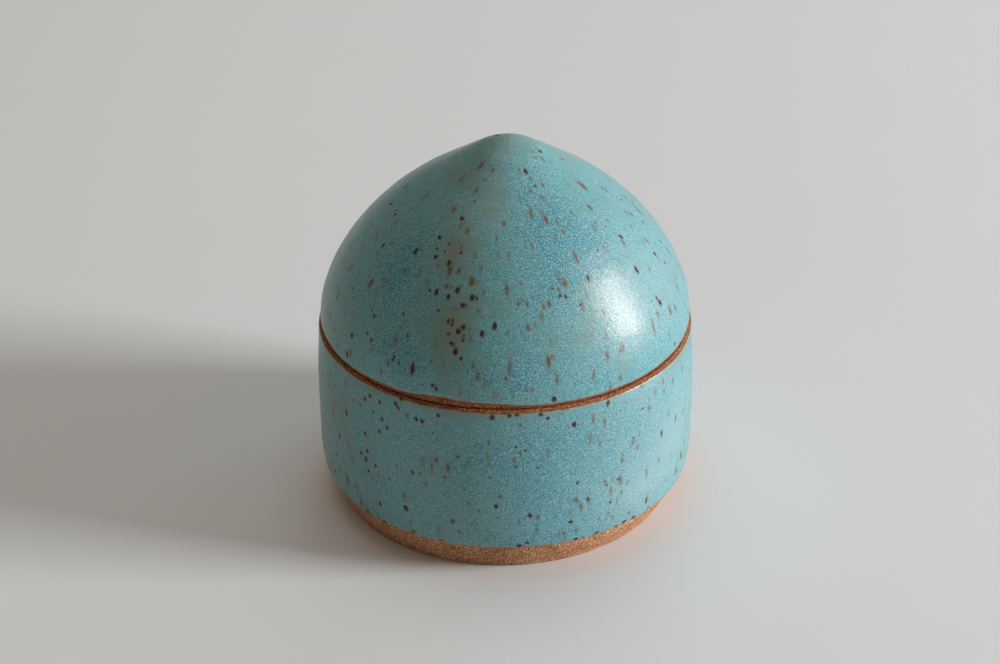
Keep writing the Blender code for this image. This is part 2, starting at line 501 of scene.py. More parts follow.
# ---------------------------------------------------------------- iron spots, streaks and pools
def scattered(chosen, clusters, loose, first_run, last_run, seed):
    """Spots as (angle, run, radius, stretch): chosen one by one, in clusters, and loose.

    The loose ones lie between first_run and last_run, and are thicker towards the last.
    """
    rng = np.random.default_rng(seed)
    spots = [(math.radians(angle_deg), *rest) for angle_deg, *rest in chosen]
    for angle_deg, middle, angle_spread, run_spread, number, size, stretch in clusters:
        for _ in range(number):
            angle = math.radians(angle_deg + angle_spread * rng.normal())
            run = middle + run_spread * rng.normal()
            radius = size * math.exp(0.35 * rng.normal())
            spots.append((angle, run, radius, stretch * rng.uniform(0.8, 1.3)))
    number, size, stretch = loose
    for _ in range(number):
        angle = rng.uniform(-math.pi, math.pi)
        run = first_run + (last_run - first_run) * math.sqrt(rng.uniform(0.0, 1.0))
        radius = size * math.exp(0.4 * rng.normal())
        spots.append((angle, run, radius, stretch * rng.uniform(0.7, 1.6)))
    return spots


def spot_distance(spots, outline, angle, run):
    """How far each point is from the rim of the nearest spot: below 0 inside it."""
    radius = np.interp(run, outline.runs, outline.radius)
    nearest = np.full(run.shape, FAR_FROM_SPOT)
    middle = run.mean(1)
    for spot_angle, spot_run, size, stretch in spots:
        away = (angle[0] - spot_angle + math.pi) % math.tau - math.pi
        reach = FAR_FROM_SPOT + 2.0 * size * stretch
        rows = np.nonzero(np.abs(middle - spot_run) < reach + 1.0)[0]
        spot_radius = max(float(np.interp(spot_run, outline.runs, outline.radius)), 0.5)
        columns = np.nonzero(np.abs(away) * spot_radius < reach)[0]
        if not len(rows) or not len(columns):
            continue
        patch = np.ix_(rows, columns)
        across = radius[patch] * away[columns][None]
        along = (run[patch] - spot_run) / stretch
        distance = np.hypot(across, along) - size
        nearest[patch] = np.minimum(nearest[patch], distance)
    return nearest


def pooled(pools, angle, run):
    """The sum of soft pools: angle and run of the middle, their widths, and how much."""
    depth = np.zeros(run.shape)
    for angle_deg, pool_run, angle_width, run_width, amount in pools:
        along = np.exp(-(((run - pool_run) / run_width) ** 2))
        depth += amount * bump_at(angle, angle_deg, angle_width) * along
    return depth


# The milky pools partly paint the key light's sheen on the right-hand side.
def look_of(iron, rust, pools, milky_and_sheen=()):
    """The fields of a coat, as a function of its outline, angles and runs."""

    def fields(outline, angle, run):
        return {
            "iron": spot_distance(iron, outline, angle, run),
            "rust": spot_distance(rust, outline, angle, run),
            "depth": pooled(pools, angle, run),
            "milk_and_sheen": pooled(milky_and_sheen, angle, run),
        }

    return fields


# ---------------------------------------------------------------- materials
class Nodes:
    """A material's node tree, built with short calls. A value is a number, a colour or a socket."""

    def __init__(self, name):
        self.material = bpy.data.materials.new(name)
        self.material.use_nodes = True
        self.tree = self.material.node_tree
        self.shader = self.tree.nodes["Principled BSDF"]

    def put(self, value, socket):
        """Links a socket, or sets a constant."""
        if isinstance(value, bpy.types.NodeSocket):
            self.tree.links.new(value, socket)
        else:
            socket.default_value = value

    def math(self, operation, a, b=0.0):
        """One math node."""
        node = self.tree.nodes.new("ShaderNodeMath")
        node.operation = operation
        self.put(a, node.inputs[0])
        self.put(b, node.inputs[1])
        return node.outputs[0]

    def sum(self, *terms):
        """The sum of (weight, value) pairs."""
        total = 0.0
        for weight, value in terms:
            node = self.tree.nodes.new("ShaderNodeMath")
            node.operation = "MULTIPLY_ADD"
            self.put(value, node.inputs[0])
            self.put(weight, node.inputs[1])
            self.put(total, node.inputs[2])
            total = node.outputs[0]
        return total

    def step(self, value, low, high, top=1.0):
        """Rises smoothly from 0 at low to top at high, or falls if high is below low."""
        node = self.tree.nodes.new("ShaderNodeMapRange")
        node.interpolation_type = "SMOOTHSTEP"
        falling = high < low
        self.put(value, node.inputs["Value"])
        node.inputs["From Min"].default_value = min(low, high)
        node.inputs["From Max"].default_value = max(low, high)
        node.inputs["To Min"].default_value = top if falling else 0.0
        node.inputs["To Max"].default_value = 0.0 if falling else top
        return node.outputs["Result"]

    def mix(self, share, a, b):
        """Colour a, with a share of colour b over it."""
        node = self.tree.nodes.new("ShaderNodeMix")
        node.data_type = "RGBA"
        node.clamp_factor = True
        self.put(share, node.inputs[0])
        self.put((*a, 1.0) if isinstance(a, tuple) else a, node.inputs[6])
        self.put((*b, 1.0) if isinstance(b, tuple) else b, node.inputs[7])
        return node.outputs[2]

    def ramp(self, value, *stops):
        """A colour ramp through (place, colour) stops."""
        node = self.tree.nodes.new("ShaderNodeValToRGB")
        node.color_ramp.interpolation = "EASE"
        elements = node.color_ramp.elements
        while len(elements) < len(stops):
            elements.new(0.5)
        for element, (place, color) in zip(elements, stops):
            element.position = place
            element.color = (*color, 1.0)
        self.put(value, node.inputs[0])
        return node.outputs[0]

    def noise(self, place, size_mm, detail=2.0, roughness=0.55):
        """Noise whose largest grains are about size_mm wide. place is in millimetres."""
        node = self.tree.nodes.new("ShaderNodeTexNoise")
        self.put(place, node.inputs["Vector"])
        node.inputs["Scale"].default_value = 1.0 / size_mm
        node.inputs["Detail"].default_value = detail
        node.inputs["Roughness"].default_value = roughness
        return node.outputs["Fac"]

    def cells(self, place, size_mm):
        """Distance from each random cell's point, and a random number for each cell."""
        node = self.tree.nodes.new("ShaderNodeTexVoronoi")
        self.put(place, node.inputs["Vector"])
        node.inputs["Scale"].default_value = 1.0 / size_mm
        parts = self.tree.nodes.new("ShaderNodeSeparateColor")
        self.tree.links.new(node.outputs["Color"], parts.inputs[0])
        return node.outputs["Distance"], parts.outputs[0]

    def stretched(self, place, factors, shift=(0.0, 0.0, 0.0)):
        """The same place, scaled and then moved."""
        node = self.tree.nodes.new("ShaderNodeMapping")
        self.put(place, node.inputs["Vector"])
        node.inputs["Location"].default_value = shift
        node.inputs["Scale"].default_value = factors
        return node.outputs[0]

    def field(self, name):
        """A mesh attribute: its number and its vector."""
        node = self.tree.nodes.new("ShaderNodeAttribute")
        node.attribute_name = name
        return node.outputs["Fac"], node.outputs["Vector"]

    def place(self):
        """The place on the piece, in millimetres."""
        node = self.tree.nodes.new("ShaderNodeTexCoord")
        return self.stretched(node.outputs["Object"], (1 / MM, 1 / MM, 1 / MM))

    def bump(self, height, depth_mm, normal=None):
        """A normal for a height between 0 and 1 that stands for depth_mm."""
        node = self.tree.nodes.new("ShaderNodeBump")
        node.inputs["Distance"].default_value = depth_mm * MM
        self.put(height, node.inputs["Height"])
        if normal:
            self.put(normal, node.inputs["Normal"])
        return node.outputs[0]

    def finish(self, color, roughness, normal, **fixed):
        """Joins the nodes to the shader, sets its constants and returns the material."""
        self.put(color, self.shader.inputs["Base Color"])
        self.put(roughness, self.shader.inputs["Roughness"])
        self.put(normal, self.shader.inputs["Normal"])
        for name, value in fixed.items():
            self.shader.inputs[name.replace("_", " ")].default_value = value
        return self.material


GREEN_GREY = (0.160, 0.225, 0.178)
SEA_GREEN = (0.122, 0.272, 0.264)
TURQUOISE = (0.090, 0.310, 0.343)
DEEP_BLUE = (0.026, 0.258, 0.322)
# MILK_AND_SHEEN is a pale glaze colour, partly painted sheen where the key light falls on the right-hand
# side.
MILK_AND_SHEEN = (0.330, 0.440, 0.430)
PALE_FLECK = (0.290, 0.490, 0.505)
DARK_FLECK = (0.036, 0.132, 0.162)
RUST = (0.142, 0.104, 0.052)
RUST_HEART = (0.078, 0.040, 0.018)
IRON_RIM = (0.100, 0.036, 0.017)
IRON = (0.008, 0.004, 0.003)
# CREAM_AND_GLINT is partly painted highlight on the glaze's edge bead.
CREAM_AND_GLINT = (0.520, 0.470, 0.330)
WORN_EDGE = (0.170, 0.072, 0.034)


def turquoise_glaze():
    """Satin glaze over iron-rich clay: mottled, flecked, and broken by iron spots and rust."""
    n = Nodes("turquoise_glaze")
    place = n.place()
    flow = n.field("flow")[1]
    iron = n.field("iron")[0]
    rust = n.field("rust")[0]
    depth = n.field("depth")[0]
    milk_and_sheen = n.field("milk_and_sheen")[0]
    edge = n.field("edge")[0]

    # Where the glaze pooled it is blue, and where it ran thin it is green.
    cloud = n.noise(place, 20.0, 3.0)
    patch = n.noise(place, 4.5, 4.0, 0.62)
    run_down = n.noise(n.stretched(flow, (1.0, 1.0, 0.2)), 2.2, 3.0, 0.6)
    level = n.sum(
        (0.40, depth), (0.25, milk_and_sheen), (0.58, cloud), (0.50, patch), (0.25, run_down), (1.0, -0.15)
    )
    color = n.ramp(
        level, (0.12, GREEN_GREY), (0.36, SEA_GREEN), (0.54, TURQUOISE), (0.82, DEEP_BLUE)
    )

    # Milky where it is thickest round the right-hand side, and paler there partly as painted sheen of
    # the key light on that lit side.
    cloudy_and_sheen = n.sum((0.38, milk_and_sheen), (0.34, n.math("MULTIPLY", milk_and_sheen, patch)))
    color = n.mix(cloudy_and_sheen, color, MILK_AND_SHEEN)

    # Grain as fine as sand: pale crystals and dark gaps, strongest where the glaze is thick.
    grain = n.noise(place, 0.31, 2.0, 0.6)
    strength = n.sum((1.0, n.step(level, 0.20, 0.75)), (-0.45, milk_and_sheen))
    pale = n.math("MULTIPLY", n.step(grain, 0.50, 0.62), n.sum((0.74, strength), (1.0, 0.12)))
    dark = n.math("MULTIPLY", n.step(grain, 0.50, 0.38), n.sum((0.64, strength), (1.0, 0.20)))
    color = n.mix(pale, color, PALE_FLECK)
    color = n.mix(dark, color, DARK_FLECK)

    # The glaze thins and breaks to rust at its edges, with a thin cream line along them that is partly
    # painted highlight on the glaze's bead.
    ragged = n.noise(place, 0.8, 3.0, 0.7)
    worn = n.sum((1.0, edge), (1.9, ragged), (1.0, -0.95))
    color = n.mix(n.step(worn, 0.85, 0.25, 0.34), color, CREAM_AND_GLINT)
    color = n.mix(n.step(worn, 0.55, 0.12, 0.85), color, WORN_EDGE)

    # Rust: soft streaks along the run of the glaze, and a faint haze of it where the glaze is thin.
    haze = n.noise(n.stretched(flow, (1.0, 1.0, 0.28), (31.0, 7.0, 3.0)), 1.5, 4.0, 0.62)
    blot = n.sum((1.0, rust), (1.0, ragged), (1.0, -0.56))
    streak = n.step(blot, 0.44, -0.32, 0.72)
    faint = n.math("MULTIPLY", n.step(haze, 0.58, 0.76), n.step(level, 0.65, 0.25, 0.30))
    color = n.mix(n.math("MAXIMUM", streak, faint), color, RUST)
    color = n.mix(n.step(blot, 0.0, -0.36, 0.72), color, RUST_HEART)

    # Iron spots: near black with a red-brown rim, and specks as fine as pepper.
    jagged = n.noise(place, 0.5, 2.0, 0.6)
    spot = n.sum((1.0, iron), (0.8, jagged), (1.0, -0.46))
    near, chance = n.cells(place, 2.3)
    speck = n.math("ADD", n.math("MULTIPLY", near, 2.3), n.step(chance, 0.06, 0.12, 3.0))
    spot = n.math("MINIMUM", spot, n.math("SUBTRACT", speck, 0.20))
    color = n.mix(n.step(spot, 0.34, 0.04, 0.80), color, IRON_RIM)
    color = n.mix(n.step(spot, 0.10, -0.10, 0.97), color, IRON)

    dent = n.step(spot, 0.15, -0.1)
    roughness = n.sum((0.15, grain), (0.05, patch), (0.25, dent), (1.0, 0.40))
    ripple = n.noise(place, 2.4, 2.0)
    wave = n.bump(ripple, 0.06)
    normal = n.bump(dent, 0.05, n.bump(grain, 0.09, wave))
    n.put(n.bump(grain, 0.05, wave), n.shader.inputs["Coat Normal"])
    return n.finish(color, roughness, normal, IOR=1.5, Coat_Weight=0.42, Coat_Roughness=0.14)


CLAY_DARK = (0.165, 0.070, 0.034)
CLAY_MID = (0.425, 0.202, 0.100)
CLAY_PALE = (0.690, 0.385, 0.205)
TOAST_DARK = (0.050, 0.014, 0.006)
TOAST_MID = (0.225, 0.068, 0.021)
TOAST_PALE = (0.560, 0.218, 0.084)
GROG_PALE = (0.680, 0.500, 0.350)
PIT = (0.040, 0.020, 0.012)


def bare_stoneware():
    """Iron-rich stoneware: grog, pits and turning marks, and toasted dark along the rims."""
    n = Nodes("bare_stoneware")
    place = n.place()
    flow = n.field("flow")[1]
    toast = n.field("toast")[0]
    edge = n.field("edge")[0]
    tone = n.noise(place, 6.0, 4.0, 0.6)
    turning = n.noise(n.stretched(flow, (0.10, 0.10, 1.6)), 0.9, 3.0, 0.6)
    grain = n.noise(place, 0.55, 3.0, 0.75)
    level = n.sum((0.35, tone), (0.20, turning), (2.20, grain), (1.0, -0.87))
    color = n.ramp(level, (0.25, CLAY_DARK), (0.50, CLAY_MID), (0.80, CLAY_PALE))

    near, chance = n.cells(place, 0.9)
    speck = n.step(near, 0.34, 0.20)
    pale = n.math("MULTIPLY", speck, n.step(chance, 0.76, 0.80, 0.80))
    pit = n.math("MULTIPLY", speck, n.step(chance, 0.30, 0.26))
    color = n.mix(pale, color, GROG_PALE)
    color = n.mix(n.math("MULTIPLY", pit, 0.85), color, PIT)
    dark = n.sum((0.62, toast), (0.5, n.math("MULTIPLY", toast, tone)), (1.0, -0.02))
    burnt = n.ramp(grain, (0.36, TOAST_DARK), (0.50, TOAST_MID), (0.66, TOAST_PALE))
    color = n.mix(dark, color, burnt)
    stain = n.step(n.sum((1.0, edge), (1.2, grain), (1.0, -0.6)), 0.5, 0.1, 0.5)
    color = n.mix(stain, color, TOAST_MID)

    roughness = n.sum((0.15, grain), (1.0, 0.76))
    height = n.sum((1.0, grain), (0.5, turning), (0.4, pale), (-0.9, pit))
    normal = n.bump(height, 0.16)
    return n.finish(color, roughness, normal, IOR=1.35)


FLOOR_LOW = (0.737, 0.756, 0.770)
FLOOR_HIGH = (0.767, 0.786, 0.800)


def pale_paper():
    """The floor: matt off-white paper with barely seen fibres."""
    n = Nodes("pale_paper")
    place = n.place()
    fibre = n.noise(place, 1.6, 3.0)
    cloud = n.noise(place, 90.0, 2.0)
    color = n.mix(n.sum((0.5, fibre), (0.5, cloud)), FLOOR_LOW, FLOOR_HIGH)
    return n.finish(color, n.sum((0.1, fibre), (1.0, 0.85)), n.bump(fibre, 0.02), IOR=1.4)


# ---------------------------------------------------------------- the jar and the lid
jar = jar_outline()
lid = lid_outline()
jar_lip = jar.run_at(LIP_MIDDLE, RIM_HEIGHT)
jar_rim_line = jar.run_at(RIM_RADIUS - RIM_LINE_IN, RIM_HEIGHT - RIM_LINE_DOWN)
jar_foot_line = jar.run_at(BAND_RADIUS, BAND_HEIGHT)
jar_liner_line = jar.run_at(MOUTH_RADIUS, RIM_HEIGHT - JAR_LINER_DOWN)
jar_ring_end = jar.run_at(FOOT_RADIUS - FOOT_RING_WIDTH - FOOT_RECESS, FOOT_RECESS)
seat_height = RIM_HEIGHT + SEAT_GAP
flange_inside = MOUTH_RADIUS - FLANGE_CLEARANCE - FLANGE_WALL
lid_edge_line = lid.run_at(LID_RADIUS, seat_height + LID_LINE_UP)
lid_liner_line = lid.run_at(flange_inside, seat_height + LID_LINER_UP)


def jar_rim_edge(angle):
    """The glaze stops just below the lip, and lower round the right-hand side."""
    return jar_rim_line + wavy(angle, 3, 0.26, slowest=5, fastest=110) + 0.2 * bump_at(angle, 50, 30)


def jar_foot_edge(angle):
    """The glaze stops at the bare band, and runs lower on the right-hand side."""
    return jar_foot_line + wavy(angle, 5, 0.5, slowest=11, fastest=120) + 0.5 * bump_at(angle, 52, 25)


def jar_liner_edge(angle):
    """The inner glaze stops a little below the mouth's edge."""
    return jar_liner_line + wavy(angle, 7, 0.4)


def lid_edge(angle):
    """The glaze stops just above the lid's edge: higher where it was wiped off, lower on the right."""
    wiped = 1.0 * bump_at(angle, -21, 7) + 0.75 * bump_at(angle, -10, 13)
    wiped = wiped - 0.25 * bump_at(angle, 50, 30)
    return lid_edge_line + wavy(angle, 9, 0.2, slowest=5, fastest=110) - wiped


def lid_liner_edge(angle):
    """The inner glaze stops just above the flange."""
    return lid_liner_line + wavy(angle, 11, 0.5)


# Spots: angle, run, radius, stretch along the run.
# Clusters: angle and run of the middle, their spreads, how many, radius, stretch.
# Loose spots: how many, radius, stretch.
# Pools and milk: angle and run of the middle, their widths, how much (below 0 where it is thin). The
# milk is partly painted sheen on the lit right-hand side.
# The lid's runs are counted from its tip, and its loose spots begin at LID_TOP.
LID_TOP = 2.0
LID_IRON_SPOTS = (
    (-29, 26.5, 0.44, 1.0),
    (-26, 21.0, 0.26, 1.0),
    (-36, 33.0, 0.46, 1.0),
    (-30, 36.0, 0.24, 1.0),
    (-33, 38.0, 0.44, 1.0),
    (-22, 35.5, 0.26, 1.0),
    (-44, 38.5, 0.40, 1.8),
    (-73, 34.5, 0.30, 1.2),
    (-30, 46.5, 0.26, 1.0),
    (-27, 46.5, 0.38, 1.6),
    (-19, 45.0, 0.50, 1.3),
    (-22, 47.0, 0.40, 1.2),
    (-16, 48.5, 0.46, 1.1),
    (-16, 55.0, 0.56, 1.1),
    (-18, 58.0, 0.30, 1.0),
    (-14, 57.0, 0.30, 1.0),
    (-16, 60.0, 0.54, 1.3),
    (-14, 61.5, 0.36, 1.0),
    (-8, 55.0, 0.40, 1.5),
    (-4, 53.0, 0.42, 1.6),
    (-29, 66.5, 0.42, 3.0),
    (-22, 69.5, 0.36, 1.0),
    (-36, 65.0, 0.28, 1.2),
    (-34, 66.2, 0.26, 1.2),
    (24, 12.0, 0.36, 1.6),
)
LID_IRON = (
    (-17, 52.0, 3.5, 6.0, 11, 0.25, 1.0),
    (-30, 36.0, 6.0, 6.0, 5, 0.20, 1.0),
    (-53, 60.0, 8.0, 3.0, 5, 0.22, 1.2),
    (-38, 64.0, 2.5, 6.0, 3, 0.26, 1.2),
)
LID_LOOSE_IRON = (60, 0.22, 1.4)
LID_RUST_SPOTS = (
    (-20, 11.5, 0.42, 1.2),
    (-26, 14.5, 0.38, 1.2),
    (-40, 24.0, 0.40, 0.8),
    (-70, 42.0, 0.42, 1.3),
    (-44, 44.0, 0.42, 1.5),
    (-10, 49.5, 0.42, 1.3),
    (-10, 63.0, 0.44, 2.2),
    (1, 63.0, 0.36, 4.5),
    (6, 69.0, 0.42, 1.2),
    (4, 47.5, 0.38, 1.8),
    (7, 53.5, 0.40, 2.0),
    (12, 51.0, 0.34, 3.0),
    (-2, 26.5, 0.42, 1.6),
    (53, 62.5, 0.38, 5.0),
    (-40, 70.0, 0.40, 1.4),
)
LID_RUST = (
    (-18, 48.0, 7.0, 10.0, 17, 0.30, 1.2),
    (7, 51.0, 6.0, 4.0, 6, 0.32, 1.6),
    (30, 22.0, 8.0, 5.0, 6, 0.34, 2.2),
    (58, 26.0, 8.0, 4.0, 5, 0.32, 1.8),
    (47, 8.2, 10.0, 1.0, 2, 0.32, 1.4),
    (67, 60.0, 6.0, 1.0, 3, 0.32, 2.4),
    (60, 46.0, 10.0, 5.0, 5, 0.32, 1.8),
    (20, 45.0, 4.0, 2.0, 3, 0.30, 1.6),
    (-72, 55.0, 4.0, 11.0, 6, 0.30, 2.0),
    (-58, 60.0, 10.0, 8.0, 12, 0.21, 2.4),
)
LID_LOOSE_RUST = (200, 0.26, 2.2)
LID_POOLS = (
    (28.0, 29.0, 18.0, 10.0, 0.8),
    (13.0, 20.0, 12.0, 7.0, 0.4),
    (34.0, 38.0, 12.0, 6.0, 0.3),
    (45.0, 38.0, 14.0, 9.0, 0.3),
    (20.0, 44.0, 11.0, 7.0, 0.8),
    (-45.0, 44.0, 9.0, 11.0, 0.8),
    (-33.0, 65.0, 8.0, 5.0, 1.0),
    (0.0, 67.0, 12.0, 4.0, 0.3),
    (-18.0, 55.0, 7.0, 8.0, -0.9),
    (-24.0, 34.0, 8.0, 6.0, -0.8),
    (-50.0, 14.0, 25.0, 6.0, -0.6),
    (0.0, 0.0, 720.0, 8.0, -0.5),
    (-8.0, 18.0, 22.0, 9.0, -0.4),
    (-73.0, 67.0, 12.0, 6.0, -0.4),
    (68.0, 55.0, 14.0, 8.0, -0.3),
)
# The lid's milk is partly painted sheen on its lit right-hand side.
LID_MILK_AND_SHEEN = ((66.0, 50.0, 14.0, 14.0, 0.5), (40.0, 52.0, 12.0, 8.0, 0.2))

# The jar's runs are counted from the top of its lip.
JAR_IRON_SPOTS = (
    (-46, 5.8, 0.42, 1.0),
    (-44, 4.2, 0.40, 1.0),
    (-40, 4.6, 0.30, 1.6),
    (-34, 3.2, 0.36, 1.2),
    (-55, 13.5, 0.34, 1.8),
    (-39, 9.2, 0.40, 1.0),
    (-27, 5.8, 0.44, 1.0),
    (-25, 6.0, 0.44, 1.0),
    (-20, 3.4, 0.34, 1.3),
    (-37, 11.0, 0.42, 1.0),
    (-40, 13.2, 0.34, 1.0),
    (-46, 16.0, 0.34, 1.2),
    (-60, 22.8, 0.30, 2.0),
    (-46, 23.8, 0.38, 1.8),
    (-42, 24.2, 0.30, 1.5),
    (-45, 27.0, 0.30, 1.5),
    (-31, 33.5, 0.60, 1.3),
    (-14, 14.2, 0.26, 1.0),
    (-32, 1.5, 0.38, 1.0),
    (-4, 2.3, 0.46, 1.0),
    (1, 1.8, 0.38, 1.0),
    (3, 1.7, 0.28, 1.0),
    (10, 1.9, 0.38, 1.2),
    (12, 3.2, 0.36, 1.0),
    (20, 6.2, 0.42, 1.3),
    (31, 2.6, 0.32, 1.8),
    (53, 19.5, 0.30, 2.0),
    (-3, 28.2, 0.38, 1.2),
    (19, 35.0, 0.46, 0.8),
    (6, 40.0, 0.30, 1.0),
    (21, 41.3, 0.46, 0.9),
    (28, 41.2, 0.52, 0.9),
    (35, 41.4, 0.38, 1.0),
    (38, 41.0, 0.56, 0.9),
    (42, 41.3, 0.54, 0.9),
    (-48, 41.3, 0.40, 0.9),
    (-40, 41.2, 0.42, 0.9),
    (-30, 41.4, 0.36, 0.9),
    (-20, 41.4, 0.40, 0.9),
)
JAR_IRON = (
    (24, 41.5, 12.0, 0.3, 6, 0.30, 0.9),
    (-45, 41.5, 14.0, 0.3, 5, 0.32, 0.9),
    (-43, 9.0, 7.0, 4.0, 4, 0.22, 1.2),
)
JAR_LOOSE_IRON = (60, 0.22, 1.5)
JAR_RUST_SPOTS = (
    (-30, 5.4, 0.36, 1.8),
    (-47, 28.5, 0.36, 1.3),
    (-41, 26.5, 0.38, 1.2),
    (-25, 18.0, 0.36, 3.6),
    (-22, 18.5, 0.36, 4.2),
    (-26, 21.5, 0.34, 1.4),
    (-24, 24.2, 0.44, 1.2),
    (-18, 21.0, 0.38, 1.8),
    (-12, 17.0, 0.40, 1.2),
    (-16, 34.0, 0.66, 1.2),
    (-2, 25.2, 0.48, 1.3),
    (4, 12.5, 0.42, 1.3),
    (9, 17.0, 0.42, 1.1),
    (12, 13.0, 0.30, 4.0),
    (26, 6.0, 0.32, 4.0),
    (25, 11.5, 0.30, 4.5),
    (47, 9.5, 0.40, 1.8),
    (40, 17.0, 0.38, 1.8),
    (42, 19.0, 0.34, 2.2),
    (52, 27.2, 0.38, 1.6),
    (30, 25.5, 0.48, 1.4),
    (38, 28.5, 0.32, 1.8),
    (32, 28.8, 0.30, 3.0),
    (20, 28.5, 0.46, 1.3),
    (9, 32.0, 0.42, 1.8),
    (-66, 7.2, 0.28, 2.5),
    (-62, 8.5, 0.26, 2.5),
    (-56, 5.2, 0.26, 2.0),
    (-58, 15.5, 0.26, 2.2),
    (-11, 27.8, 0.34, 1.6),
    (-14, 36.8, 0.34, 1.4),
    (-4, 2.2, 0.72, 1.1),
    (0, 1.2, 0.34, 1.0),
    (4, 4.5, 0.40, 1.2),
    (44, 1.8, 0.32, 2.0),
    (54, 4.5, 0.34, 2.6),
    (60, 7.0, 0.34, 2.6),
    (50, 5.8, 0.30, 2.6),
)
JAR_RUST = (
    (57, 8.3, 7.0, 1.0, 3, 0.30, 1.6),
    (-8, 24.0, 14.0, 8.0, 7, 0.26, 2.0),
    (28, 34.0, 9.0, 4.0, 6, 0.28, 1.8),
    (-58, 19.3, 7.0, 9.0, 7, 0.28, 2.2),
    (64, 25.3, 7.0, 9.0, 6, 0.26, 2.2),
    (-62, 14.0, 6.0, 9.0, 12, 0.21, 2.4),
)
JAR_LOOSE_RUST = (170, 0.26, 2.4)
JAR_POOLS = (
    (14.0, 14.3, 13.0, 9.0, 0.5),
    (5.0, 36.3, 14.0, 6.0, 0.45),
    (14.0, 24.0, 16.0, 11.0, 0.45),
    (-8.0, 12.0, 13.0, 8.0, 0.5),
    (-53.0, 18.3, 14.0, 9.0, -0.3),
    (60.0, 24.3, 14.0, 9.0, -0.3),
    (0.0, 0.8, 720.0, 2.0, -0.8),
)
# The jar's milk is partly painted sheen on its lit right-hand side.
JAR_MILK_AND_SHEEN = (
    (56.0, 22.0, 20.0, 16.0, 0.9),
    (44.0, 3.0, 10.0, 6.0, 0.7),
    (42.0, 33.0, 13.0, 8.0, 0.85),
    (22.0, 20.0, 16.0, 16.0, 0.4),
    (-2.0, 36.0, 16.0, 8.0, 0.4),
)

# Inside both pieces the spots are scattered at random, all but in the very middle.
LINER_MIDDLE = 5.0
JAR_LINER_IRON = (60, 0.34, 1.2)
JAR_LINER_RUST = (60, 0.36, 1.4)
LID_LINER_IRON = (50, 0.34, 1.2)
LID_LINER_RUST = (50, 0.36, 1.4)
LINER_POOLS = ((0.0, 0.0, 720.0, 40.0, 0.8),)


def below_lip(rows):
    """The same rows, with runs counted from the start of the jar's outline."""
    return tuple((angle_deg, run + jar_lip, *rest) for angle_deg, run, *rest in rows)


glaze = turquoise_glaze()
clay = bare_stoneware()

jar_sunk = (jar_rim_line - 0.75, jar_rim_line - 0.25, jar_foot_line + 1.0, jar_foot_line + 1.9)
jar_toasted = (jar_liner_line - 4.0, jar_liner_line - 2.0, jar_rim_line + 1.0, jar_rim_line + 2.0)
jar_bare = ((jar_liner_line, jar_rim_line + 1.0), (jar_foot_line - 1.0, jar_ring_end))
jar_stained = (jar_rim_edge, jar_foot_edge, jar_liner_edge)
jar_clay = clay_body("jar_clay", jar, jar_sunk, jar_toasted, jar_bare, jar_stained, foot_stray)
piece("jar_clay", jar_clay, clay, "jar", "jar_body")

jar_look = look_of(
    scattered(
        below_lip(JAR_IRON_SPOTS), below_lip(JAR_IRON), JAR_LOOSE_IRON, jar_rim_line, jar_foot_line, 21
    ),
    scattered(
        below_lip(JAR_RUST_SPOTS), below_lip(JAR_RUST), JAR_LOOSE_RUST, jar_rim_line, jar_foot_line, 22
    ),
    below_lip(JAR_POOLS),
    below_lip(JAR_MILK_AND_SHEEN),
)
jar_edges = (jar_rim_edge, jar_foot_edge)
jar_skin = glaze_coat(
    "jar_glaze", jar, jar_edges, 0.0, JAR_COAT_ROWS, -GLAZE_THICKNESS, foot_stray, jar_look
)
piece("jar_glaze", jar_skin, glaze, "jar", None)

jar_inner_look = look_of(
    scattered((), (), JAR_LINER_IRON, LINER_MIDDLE, jar_liner_line, 23),
    scattered((), (), JAR_LINER_RUST, LINER_MIDDLE, jar_liner_line, 24),
    LINER_POOLS,
)
jar_inner = glaze_coat(
    "jar_liner", jar, (jar_liner_edge,), 0.0, LINER_ROWS, 0.0, foot_stray, jar_inner_look
)
piece("jar_liner", jar_inner, glaze, "jar", None)

lid_sunk = (-2.0, -1.0, lid_edge_line + 0.35, lid_edge_line + 0.8)
lid_toasted = (lid_edge_line - 4.0, lid_edge_line - 3.0, lid.length + 1.0, lid.length + 2.0)
lid_bare = ((lid_edge_line - 2.5, lid_liner_line + 1.0),)
lid_stained = (lid_edge, lid_liner_edge)
lid_clay = clay_body("lid_clay", lid, lid_sunk, lid_toasted, lid_bare, lid_stained, lid_stray)
piece("lid_clay", lid_clay, clay, "lid", "dome_lid")

lid_look = look_of(
    scattered(LID_IRON_SPOTS, LID_IRON, LID_LOOSE_IRON, LID_TOP, lid_edge_line, 31),
    scattered(LID_RUST_SPOTS, LID_RUST, LID_LOOSE_RUST, LID_TOP, lid_edge_line, 32),
    LID_POOLS,
    LID_MILK_AND_SHEEN,
)
lid_skin = glaze_coat(
    "lid_glaze", lid, (lid_edge,), 0.0, LID_COAT_ROWS, -GLAZE_THICKNESS, lid_stray, lid_look
)
piece("lid_glaze", lid_skin, glaze, "lid", None)

lid_inside_top = lid.length - LINER_MIDDLE
lid_inner_look = look_of(
    scattered((), (), LID_LINER_IRON, lid_inside_top, lid_liner_line, 33),
    scattered((), (), LID_LINER_RUST, lid_inside_top, lid_liner_line, 34),
    LINER_POOLS,
)
lid_inner = glaze_coat(
    "lid_liner", lid, (lid_liner_edge,), lid.length, LINER_ROWS, 0.0, lid_stray, lid_inner_look
)
piece("lid_liner", lid_inner, glaze, "lid", None)


# ---------------------------------------------------------------- floor, lights and camera
FLOOR_RADIUS = 4.0
FLOOR_SIDES = 96
WORLD_COLOR = (0.220, 0.180, 0.140)
LIGHT_AIM = (0.0, 0.0, 0.03)
